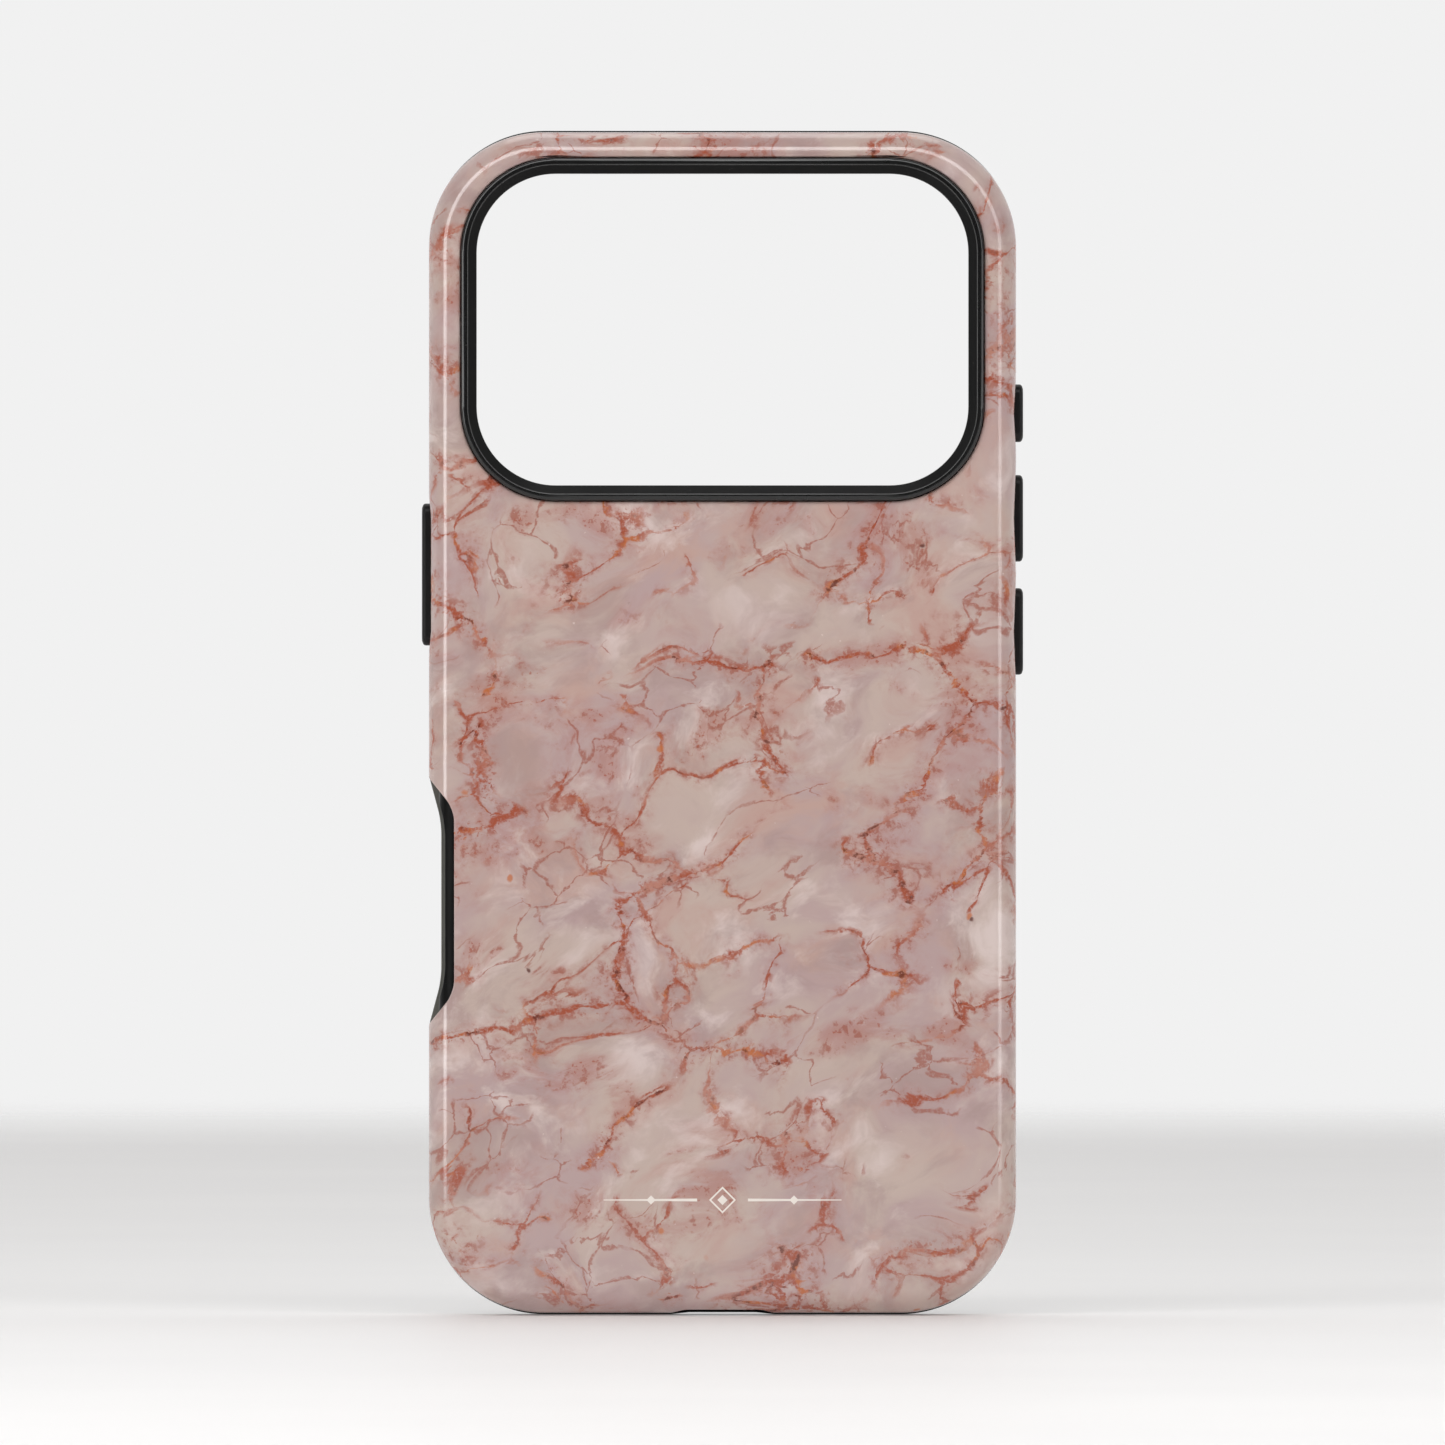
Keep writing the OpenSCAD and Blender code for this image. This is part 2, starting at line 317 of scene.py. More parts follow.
shellLow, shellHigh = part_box("outer_shell")
linerLow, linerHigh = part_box("inner_liner")
keyBoxes = {name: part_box(name) for name in frame["nodes"] if name.endswith("_button")}
mounts = {mount["name"]: Vector(mount["pos_m"]) for mount in frame["record"]["mounts"]}
windowMiddle = mounts["camera_window"]
portMiddle = mounts["charging_port"]
controlMiddle = mounts["control_window"]

windowSizes = {"sideRim": 4.2 * mm, "topRim": 3.4 * mm, "corner": 12.5 * mm, "cornerSteps": 22}
windowHalf = Vector((shellHigh.x - windowSizes["sideRim"], 0,
                     shellHigh.z - windowSizes["topRim"] - windowMiddle.z))
slotMiddle = 16.4 * mm
slotRound = 0.98  # a slot's corner, as a share of its half height
crossings = [("X", 0), ("X", slotMiddle), ("X", -slotMiddle), ("Z", windowMiddle.z), ("Z", controlMiddle.z)]
crossings += [("Z", (low.z + high.z) / 2) for low, high in keyBoxes.values()]


def sideOf(name):
    low, high = keyBoxes[name]
    return 1 if low.x + high.x > 0 else -1


def acrossSide(side, inner, outer):
    # lowest and highest x of a stretch of the right or left wall
    return sorted((side * inner, side * outer))


def keyCutter(name, room, corner, inner, outer):
    # a bar through a side wall, round a key
    low, high = keyBoxes[name]
    left, right = acrossSide(sideOf(name), inner, outer)
    return block(name + "Cut", (left, low.y - room, low.z - room), (right, high.y + room, high.z + room),
                 "X", corner + room, keySizes["cutSteps"])


def recessCutter(depth, mouth, flat, corner, front=linerHigh.y + past):
    # a bar with slanting ends beside the left wall, its inner corners rounded
    low = Vector((-shellHigh.x - 2 * past, shellLow.y - past - mm, controlMiddle.z - mouth))
    high = Vector((-shellHigh.x, front, controlMiddle.z + mouth))
    piece = block("recessCut", low, high)
    startEditing(piece)
    pick(piece, "FACE", lambda face: face.normal.x > 0.9)
    bpy.ops.mesh.extrude_region_move(TRANSFORM_OT_translate={"value": (depth, 0, 0)})
    middle = Vector((high.x + depth, 0, controlMiddle.z))
    bpy.ops.transform.resize(value=(1, 1, flat / mouth), center_override=middle)
    pick(piece, "EDGE", lambda edge: min(v.co.x for v in edge.verts) > high.x + depth - hair
         and abs(edge.verts[0].co.y - edge.verts[1].co.y) > mm)
    bpy.ops.mesh.bevel(offset=corner, segments=shellSizes["recessSteps"], affect="EDGES")
    leaveEditing()
    return piece


def slotCutter(middle, half, room):
    # a rounded slot through the bottom wall
    width, height = half[0] + room, half[1] + room
    return block("slotCut", (middle - width, portMiddle.y - height, shellLow.z - past),
                 (middle + width, portMiddle.y + height, shellLow.z + 2 * past), "Z", height * slotRound, 8)


# the hard printed shell

shellSizes = {
    "wall": 1.3 * mm, "back": 1.15 * mm, "corner": 15.1 * mm, "cornerSteps": 48,
    "edge": 3.3 * mm, "edgeSteps": 12, "inside": 2.1 * mm,
    "keyRoom": 0.55 * mm, "keyCorner": 1.3 * mm,
    "scoopDepth": 0.25 * mm, "scoopPast": 1.5 * mm, "scoopRamp": 0.8 * mm,
    "scoopLean": 2.15 * mm, "scoopTaper": 4.2 * mm,
    "pressFrom": 25, "pressOver": 45,  # degrees round the edge where the scoop runs out
    "recessDepth": 3.35 * mm, "recessMouth": 16.2 * mm, "recessFlat": 12.06 * mm,
    "recessCorner": 1.63 * mm, "recessSteps": 12,
    "notchHalf": 6.9 * mm, "notchBehind": 0.55 * mm, "notchDeep": 2.8 * mm, "notchCorner": 2.5 * mm,
    "slotHalf": (4.8 * mm, 1.2 * mm), "slotRoom": 0.3 * mm,
    "windowLip": 0.3 * mm, "windowLipSteps": 3, "soften": 0.12 * mm,
}


def scoopReach(name):
    low, high = keyBoxes[name]
    return (low.z + high.z) / 2, (high.z - low.z) / 2 + shellSizes["scoopPast"]


def scoopCutter(name):
    # a slab with slanting ends that takes a little off the side wall beside a key
    size = shellSizes
    middle, half = scoopReach(name)
    side = sideOf(name)
    left, right = acrossSide(side, shellHigh.x - size["scoopDepth"], shellHigh.x + past)
    slab = block("scoop", (left, 0, middle - half), (right, linerHigh.y + 2 * past, middle + half))
    startEditing(slab)
    pick(slab, "FACE", lambda face: face.normal.x * side < -0.9)
    bpy.ops.transform.resize(value=(1, 1, 1 - size["scoopRamp"] / half), center_override=(0, 0, middle))
    leaveEditing()
    return slab


def pressScoops(shell):
    # beside each key the wall and its rounded edge are pressed in, less and less towards the back
    size = shellSizes
    slope = size["scoopTaper"] / size["scoopLean"]
    foot = Vector((shellHigh.x - size["edge"], shellLow.y + size["edge"], 0))
    startEditing(shell)
    for height in (-1, 1):
        place = controlMiddle.z + height * (size["recessMouth"] + past)
        pick(shell, "FACE", lambda face: max(v.co.x for v in face.verts) < -foot.x + hair)
        bpy.ops.mesh.bisect(plane_co=(0, 0, place), plane_no=(0, 0, 1))
    for name in keyBoxes:
        side = sideOf(name)
        middle, half = scoopReach(name)
        print("  scoop beside", name)
        for end in (-1, 1):
            for inset in (0, size["scoopRamp"]):
                pick(shell, "FACE", lambda face: min(v.co.x * side for v in face.verts) > foot.x - hair)
                bpy.ops.mesh.bisect(plane_co=(side * shellHigh.x, 0, middle + end * (half - inset)),
                                    plane_no=(end * slope, 0, -side))
        for ring in range(size["edgeSteps"] + 1):
            turn = 90 * ring / size["edgeSteps"]
            share = min(max((turn - size["pressFrom"]) / size["pressOver"], 0), 1)
            if not share:
                continue

            def onRing(corner):
                out, back = corner.co.x * side - foot.x, foot.y - corner.co.y
                reach = half - size["scoopRamp"] - (shellHigh.x - foot.x - out) * slope
                here = math.degrees(math.atan2(out, max(back, 0))) if out > 0 else 0
                return out > 0 and abs(here - turn) < 1 and abs(corner.co.z - middle) < reach + hair
            pick(shell, "VERT", onRing)
            press = size["scoopDepth"] * share ** 2 * (3 - 2 * share)
            bpy.ops.transform.translate(value=(-side * press, 0, 0))
    leaveEditing()


def makeShell():
    size = shellSizes
    outside = [("low", size["edge"], size["edgeSteps"])]
    shell = block("printedShell", shellLow, shellHigh, "Y", size["corner"], size["cornerSteps"], outside)
    splitAt(shell, crossings)
    pressScoops(shell)
    wall = Vector((size["wall"], 0, size["wall"]))
    hollow = block("hollow", shellLow + wall + Vector((0, size["back"], 0)),
                   shellHigh - wall + Vector((0, past, 0)), "Y", size["corner"] - size["wall"],
                   size["cornerSteps"], [("low", size["inside"], 8)])
    splitAt(hollow, crossings)
    carve(shell, hollow)
    window = block("window", windowMiddle - windowHalf + Vector((0, -5 * mm, 0)),
                   windowMiddle + windowHalf + Vector((0, 8 * mm, 0)), "Y", windowSizes["corner"],
                   windowSizes["cornerSteps"])
    carve(shell, window)
    inner = shellHigh.x - size["wall"] - mm
    for name in keyBoxes:
        carve(shell, keyCutter(name, size["keyRoom"], size["keyCorner"], inner, shellHigh.x + past))
    carve(shell, recessCutter(size["recessDepth"], size["recessMouth"], size["recessFlat"],
                              size["recessCorner"]))
    notch = block("notch", (-size["notchHalf"], -size["notchBehind"], shellLow.z - past),
                  (size["notchHalf"], shellHigh.y + 2 * past, shellLow.z + size["notchDeep"]), "Z",
                  size["notchCorner"], 8)
    carve(shell, notch)
    for side in (-1, 1):
        carve(shell, slotCutter(side * slotMiddle, size["slotHalf"], size["slotRoom"]))
    # the rim of the camera window is rounded more than the other edges
    roundEdges(shell, size["windowLip"], size["windowLipSteps"], lambda edge: all(
        abs(v.co.y - shellLow.y) < hair and abs(v.co.x) < windowHalf.x + 10 * hair
        and abs(v.co.z - windowMiddle.z) < windowHalf.z + 10 * hair
        and max(abs(v.co.x) / windowHalf.x, abs(v.co.z - windowMiddle.z) / windowHalf.z) > 0.85
        for v in edge.verts) and len(edge.link_faces) == 2
        and edge.calc_face_angle(0) > math.radians(60))
    polish(shell, size["soften"])
    return shell


# the soft liner inside it

linerSizes = {
    "gap": 0.05 * mm, "wall": 1.2 * mm, "floor": 1.1 * mm, "corner": 13.75 * mm, "edge": 2.1 * mm,
    "cornerSteps": 28, "seat": 0.9 * mm, "wallInLip": 0.3 * mm,
    "lip": 1.9 * mm, "hook": 1.15 * mm, "hold": 3.65 * mm, "lipCorner": 15.1 * mm,
    "lipFront": 0.6 * mm, "lipInside": 0.45 * mm, "lipBack": 0.25 * mm,
    "collarGap": 0.1 * mm, "collarWall": 2.0 * mm, "collarRoot": 0.5 * mm, "collarSteps": 24,
    "crestIn": 0.46 * mm, "crestUp": 0.17 * mm,
    "funnel": 1.15 * mm, "funnelFrom": 1.5 * mm, "funnelTo": 2.9 * mm,
    "web": 0.9 * mm, "keyCorner": 1.3 * mm,
    "recess": (1.55 * mm, 16.2 * mm, 10.41 * mm, 1.58 * mm),
    "wallRecess": (2.13 * mm, 18.0 * mm, 10.05 * mm, 1.58 * mm),
    "controlHalf": (10.5 * mm, 2.6 * mm), "portHalf": (6.2 * mm, 3.1 * mm), "portCorner": 2.5 * mm,
    "portStep": 0.27 * mm, "portFlat": 4.35 * mm, "portWide": 6.9 * mm,
    "slotHalf": (4.8 * mm, 1.2 * mm),
    "hexPitch": 8 * mm, "hexRib": 1.2 * mm, "hexDepth": 0.3 * mm, "hexMargin": 6 * mm,
    "soften": 0.12 * mm,
}


def hexCutter(inside):
    # shallow hexagons in staggered rows, below the camera window
    size = linerSizes
    pitch = size["hexPitch"]
    row = pitch * math.cos(math.radians(30))
    radius = (pitch - size["hexRib"]) / 2 / math.cos(math.radians(30))
    bottom = -inside.z + size["hexMargin"]
    top = windowMiddle.z - windowHalf.z - size["hexMargin"]
    rows = math.floor((top - bottom) / row) + 1
    across = math.floor((inside.x - size["hexMargin"]) / pitch)
    leaveEditing()
    bpy.ops.mesh.primitive_cylinder_add(vertices=6, radius=radius, depth=2 * mm,
                                        location=(-across * pitch, mm - size["hexDepth"], bottom),
                                        rotation=(math.radians(90), 0, 0))
    bpy.ops.object.transform_apply(location=True, rotation=True, scale=True)
    cutter = bpy.context.object
    startEditing(cutter)
    bpy.ops.mesh.select_all(action="SELECT")
    bpy.ops.mesh.duplicate_move(TRANSFORM_OT_translate={"value": (pitch / 2, 0, row)})
    takeUp(cutter)
    for count, shift in ((2 * across, (pitch, 0, 0)), (rows // 2, (0, 0, 2 * row))):
        repeat = cutter.modifiers.new("repeat", "ARRAY")
        repeat.count = count
        repeat.use_relative_offset = False
        repeat.use_constant_offset = True
        repeat.constant_offset_displace = shift
        bpy.ops.object.modifier_apply(modifier=repeat.name)
    return cutter


def makeLiner():
    size = linerSizes
    outside = Vector((shellHigh.x - shellSizes["wall"] - size["gap"], 0,
                      shellHigh.z - shellSizes["wall"] - size["gap"]))
    inside = outside - Vector((size["wall"], 0, size["wall"]))
    hookAt = linerHigh.y - size["hook"]
    liner = block("softLiner", -outside - Vector((0, size["floor"], 0)),
                  outside + Vector((0, hookAt + size["wallInLip"], 0)), "Y", size["corner"],
                  size["cornerSteps"], [("low", size["edge"], 8)])
    lip = block("lip", (linerLow.x, linerHigh.y - size["lip"], linerLow.z), linerHigh, "Y",
                size["lipCorner"], size["cornerSteps"],
                [("high", size["lipFront"], 5), ("low", size["lipBack"], 3)])
    splitAt(liner, crossings)
    splitAt(lip, crossings)
    merge(liner, lip, "UNION")
    cavity = block("cavity", -inside, inside + Vector((0, hookAt, 0)), "Y",
                   size["corner"] - size["wall"], size["cornerSteps"], [("low", size["seat"], 6)])
    rim = Vector((linerHigh.x - size["hold"], 0, linerHigh.z - size["hold"]))
    opening = block("opening", -rim + Vector((0, hookAt - past - mm, 0)),
                    rim + Vector((0, linerHigh.y + past, 0)), "Y", size["lipCorner"] - size["hold"],
                    size["cornerSteps"])
    splitAt(cavity, crossings)
    # the floor is split just beside the middle of each column of hexagons
    columns = [(step + 0.1) * size["hexPitch"] / 2 for step in range(-7, 7)]
    splitAt(cavity, [("X", column) for column in columns], lambda face: face.normal.y < -0.99)
    carve(liner, cavity, opening)
    roundEdges(liner, size["lipInside"], 4, lambda edge: all(
        abs(v.co.y - linerHigh.y) < hair and abs(v.co.x) < rim.x + 10 * hair
        and abs(v.co.z) < rim.z + 10 * hair
        for v in edge.verts) and edge.calc_face_angle(0) > math.radians(60))
    collarHalf = windowHalf - Vector((size["collarGap"], 0, size["collarGap"]))
    collarCorner = windowSizes["corner"] - size["collarGap"]
    low = windowMiddle - collarHalf
    high = windowMiddle + collarHalf
    collar = block("collar", low + Vector((0, size["crestUp"], 0)), (high.x, -size["collarRoot"], high.z),
                   "Y", collarCorner, size["collarSteps"])
    startEditing(collar)
    # its top slopes up to a crest
    pick(collar, "FACE", lambda face: face.normal.y < -0.9)
    bpy.ops.mesh.inset(thickness=size["crestIn"], depth=size["crestUp"])
    leaveEditing()
    splitAt(collar, crossings)
    merge(liner, collar, "UNION")
    # the collar's opening widens into a funnel towards the back
    mouth = Vector((size["collarWall"] - size["funnel"], 0, size["collarWall"] - size["funnel"]))
    cutter = block("throat", low + mouth - Vector((0, mm, 0)),
                   (high.x - mouth.x, -size["funnelTo"], high.z - mouth.z), "Y", collarCorner - mouth.x,
                   size["collarSteps"])
    startEditing(cutter)
    pick(cutter, "FACE", lambda face: face.normal.y > 0.9)
    bpy.ops.mesh.inset(thickness=size["funnel"], depth=size["funnelTo"] - size["funnelFrom"])
    bpy.ops.mesh.extrude_region_move(TRANSFORM_OT_translate={"value": (0, size["funnelFrom"] + past, 0)})
    leaveEditing()
    carve(liner, cutter)
    for name in keyBoxes:
        carve(liner, keyCutter(name, size["web"], size["keyCorner"], inside.x - mm, shellHigh.x))
        carve(liner, scoopCutter(name))
    # the wall is cut deeper than the lip, which leaves a ledge along the lip
    carve(liner, recessCutter(*size["wallRecess"], linerHigh.y - size["lip"]), recessCutter(*size["recess"]))
    long, wide = size["controlHalf"]
    carve(liner, block("control", (-shellHigh.x, controlMiddle.y - wide, controlMiddle.z - long),
                       (-inside.x + mm, controlMiddle.y + wide, controlMiddle.z + long), "X",
                       wide * slotRound, 10))
    long, wide = size["portHalf"]
    carve(liner, block("port", (-long, portMiddle.y - wide, linerLow.z - mm),
                       (long, portMiddle.y + wide, -inside.z + mm), "Z", size["portCorner"], 8))
    for side in (-1, 1):
        carve(liner, slotCutter(side * slotMiddle, size["slotHalf"], 0))
    step = block("step", (-size["portWide"], 0, linerLow.z - mm),
                 (size["portWide"], linerHigh.y + past, linerLow.z))
    startEditing(step)
    pick(step, "FACE", lambda face: face.normal.z > 0.9)
    bpy.ops.mesh.extrude_region_move(TRANSFORM_OT_translate={"value": (0, 0, size["portStep"])})
    bpy.ops.transform.resize(value=(size["portFlat"] / size["portWide"], 1, 1),
                             center_override=(0, 0, linerLow.z))
    leaveEditing()
    carve(liner, step, hexCutter(inside))
    polish(liner, size["soften"])
    return liner


# the keys and the thin webs that hold them

keySizes = {
    "corner": 1.3 * mm, "cornerSteps": 10, "cutSteps": 8, "rim": 0.42 * mm, "inner": 0.2 * mm,
    "crown": 0.1 * mm, "inset": 0.45 * mm, "crownRings": (0.62, 0.38),
}
webSizes = {
    "room": 0.9 * mm, "corner": 1.3 * mm, "outerAt": 0.55 * mm, "innerAt": 0.95 * mm,
    "skin": 0.24 * mm, "steps": 7, "bulge": 0.3, "overlap": 0.06 * mm, "smooth": 50,
    "bendFrom": 0.1 * mm, "bendTo": 0.45 * mm,  # from the foot of the key outwards
}


def makeKey(name):
    size = keySizes
    low, high = keyBoxes[name]
    side = sideOf(name)
    top = high.x if side > 0 else -low.x
    foot = low.x if side > 0 else -high.x
    left, right = acrossSide(side, foot, top - size["crown"])
    outer, inner = ("high", "low") if side > 0 else ("low", "high")
    key = block(name + "Pad", (left, low.y, low.z), (right, high.y, high.z), "X", size["corner"],
                size["cornerSteps"], [(outer, size["rim"], 6), (inner, size["inner"], 3)])
    startEditing(key)
    pick(key, "FACE", lambda face: face.normal.x * side > 0.99)
    # a low crown: two rings that step up to the middle
    for ring in size["crownRings"]:
        bpy.ops.mesh.inset(thickness=size["inset"] * ring, depth=size["crown"] * ring)
    leaveEditing()
    polish(key, 0)
    return key


def rimOf(name, room, corner, at):
    # a closed loop of edges with the outline of a key, at one distance from the middle
    low, high = keyBoxes[name]
    left, right = acrossSide(sideOf(name), at, at + mm)
    ring = block("rim", (left, low.y - room, low.z - room), (right, high.y + room, high.z + room), "X",
                 corner + room, keySizes["cutSteps"])
    startEditing(ring)
    place = sideOf(name) * at
    pick(ring, "FACE", lambda face: max(abs(v.co.x - place) for v in face.verts) > hair)
    bpy.ops.mesh.delete(type="FACE")
    bpy.ops.mesh.select_all(action="SELECT")
    bpy.ops.mesh.delete(type="ONLY_FACE")
    leaveEditing()
    return ring


def makeWeb(name):
    size = webSizes
    wall = linerHigh.x - shellSizes["wall"] - linerSizes["wall"]
    web = rimOf(name, size["room"] + size["overlap"], size["corner"], wall + size["outerAt"])
    inner = rimOf(name, -size["overlap"], size["corner"], wall + size["innerAt"])
    leaveEditing()
    web.select_set(True)
    inner.select_set(True)
    bpy.context.view_layer.objects.active = web
    bpy.ops.object.join()
    startEditing(web)
    bpy.ops.mesh.select_mode(type="EDGE")
    bpy.ops.mesh.select_all(action="SELECT")
    bpy.ops.mesh.bridge_edge_loops(number_cuts=size["steps"], interpolation="LINEAR",
                                   profile_shape_factor=size["bulge"], profile_shape="SPHERE")
    bpy.ops.mesh.select_all(action="SELECT")
    bpy.ops.mesh.normals_make_consistent(inside=False)
    takeUp(web)
    skin = web.modifiers.new("skin", "SOLIDIFY")
    skin.thickness = size["skin"]
    skin.offset = 0
    bpy.ops.object.modifier_apply(modifier=skin.name)
    web.name = name + "Skin"
    bpy.ops.object.shade_smooth_by_angle(angle=math.radians(size["smooth"]))
    bpy.ops.object.select_all(action="DESELECT")
    return web


# the finishes

marbleSizes = {
    "turn": 24, "stretch": (0.74, 0.85, 1.0), "bandTurn": -17, "bandStretch": (0.36, 0.7, 1.0),
    # bends: the size of the noise, how far it moves the pattern, and its detail
    "bigBend": (16, 13, 2), "smallBend": (4.2, 2.6, 3), "jag": (2.0, 1.5, 3), "bandBend": (14, 9, 3),
    "crumbBend": (1.6, 1.1, 3), "spotBend": (1.0, 0.7),
    # cracks: the size of their net, its shift, their width, how rare they are, the size of their gaps
    "longCracks": (23, (0, 0, 0), 0.8, 0.43, 15), "middleCracks": (11.5, (17, 5, 40), 0.55, 0.47, 10),
    "fineCracks": (5.6, (-33, 9, 21), 0.34, 0.53, 8),
    "fray": (0.8, 4, 0.7), "frayWide": 1.5, "swell": (1.9, 3, 0.5, 0.35, 0.7), "thinnest": 0.22,
    "gapShift": (31, 7, 12), "gapSoft": 0.07, "crackEdge": (0.25, 1.0),
    # patches: size, detail, roughness, where they start and where they are full
    "creamPatch": (15, 4, 0.55, 0.38, 0.62), "peachPatch": (9, 4, 0.6, 0.47, 0.68),
    "duskPatch": (9, 5, 0.6, 0.48, 0.68), "milkPatch": (7, 5, 0.6, 0.5, 0.72),
    "bandPatch": (12, 3, 0.5, 0.46, 0.62), "cloudPatch": (5.5, 6, 0.64, 0.42, 0.64),
    "fleckPatch": (0.7, 3, 0.6, 0.6, 0.68), "raggedPatch": (0.45, 3, 0.6, 0.3, 0.55, 0.4, 1.0),
    "fadedPatch": (6, 3, 0.6, 0.46, 0.62), "orangePatch": (4, 3, 0.6, 0.56, 0.66),
    "corePatch": (1.5, 3, 0.6, 0.52, 0.66), "speckPatch": (0.8, 2, 0.5, 0.74, 0.8),
    "dullPatch": (7, 4, 0.6, 0.3, 0.7, 0.07, 0.13),
    # where a pattern starts and is full: by distance from a crack, by noise, or by the redness near it
    "milkInside": (0.4, 4.0, 0.35, 0.85), "longHalo": (0, 2.8), "middleHalo": (0, 1.6),
    "roseCrumbs": (0.34, 0.64), "stainCrumbs": (0.54, 0.64), "stainNear": (0.2, 0.75),
    "fleckNear": (0.25, 0.8), "coreNear": (0.6, 1.0),
    "orangeSpot": (0.25, 0.6), "orangeSort": (0.66, 0.7), "darkSpot": (0.15, 0.45), "darkSort": (0.16, 0.2),
    # how much each one colours
    "share": {"dusk": 0.6, "cloud": 0.62, "halo": 0.55, "crumb": 0.7, "fleck": 0.7, "orange": 0.8,
              "fine": 0.75, "middle": 0.95, "core": 0.8, "orangeSpot": 0.8, "darkSpot": 0.85, "speck": 0.6},
    "crumbs": (1.4, 4, 0.62), "spotGap": 6.5, "ripple": (9, 2, 0.4), "rippleDepth": 0.02 * mm,
    "mauve": tint(190, 164, 162), "cream": tint(202, 181, 171), "peach": tint(198, 166, 156),
    "dusk": tint(172, 146, 141), "milk": tint(226, 209, 204), "rose": tint(180, 124, 113),
    "stain": tint(166, 96, 80), "rust": tint(170, 88, 66), "faded": tint(190, 132, 116),
    "dark": tint(96, 44, 38), "orange": tint(198, 116, 70), "ivory": tint(246, 238, 230),
}
ornamentSizes = {
    # millimetres; a pair is where an edge starts to fade and where it ends
    "height": -62.8, "half": 15.7, "rule": 0.17, "taper": 1.15, "start": 3.3,
    "lozenge": (0.62, 0.72), "ringIn": (1.42, 1.52), "ringOut": (1.72, 1.82),
    "beadAt": 9.4, "bead": (0.55, 0.65), "soft": 0.1, "ruleSoft": 0.06, "backTo": (-2.2, -2.1),
}


def marbleVein(finish, point, size, shift, wide, presence, room):
    # broken cracks between cells: how far from one, how strong it is there, and where it shows
    sizes = marbleSizes
    point = finish.turned(point, shift)
    fray = (finish.noise(point, *sizes["fray"]) - 0.5) * wide * sizes["frayWide"]
    away = finish.cells(point, size) * size + fray
    width = finish.patches(point, *sizes["swell"], wide * sizes["thinnest"], wide)
    gaps = finish.noise(finish.turned(point, sizes["gapShift"]), room, 2)
    shown = finish.step(gaps, presence, presence + sizes["gapSoft"])
    line = 1 - finish.step(away / width, *sizes["crackEdge"])
    return away, line * shown, shown


def ornamentMask(finish, point):
    # two thin rules with small lozenges, on the flat back only
    size = ornamentSizes
    across = finish.maths("ABSOLUTE", finish.along(point, 0))
    up = finish.maths("ABSOLUTE", finish.along(point, 2) - size["height"])
    middle = across + up
    lozenge = 1 - finish.step(middle, *size["lozenge"])
    ring = finish.step(middle, *size["ringIn"]) * (1 - finish.step(middle, *size["ringOut"]))
    thin = size["rule"] * (size["taper"] - across / size["half"])
    rule = 1 - finish.step(up, thin, thin + size["ruleSoft"])
    rule = rule * finish.step(across, size["start"], size["start"] + size["soft"])
    rule = rule * (1 - finish.step(across, size["half"] - size["soft"], size["half"]))
    beads = finish.maths("ABSOLUTE", across - size["beadAt"]) + up
    beads = 1 - finish.step(beads, *size["bead"])
    mask = finish.maths("MAXIMUM", lozenge + ring, finish.maths("MAXIMUM", rule, beads))
    return mask * (1 - finish.step(finish.along(point, 1), *size["backTo"]))


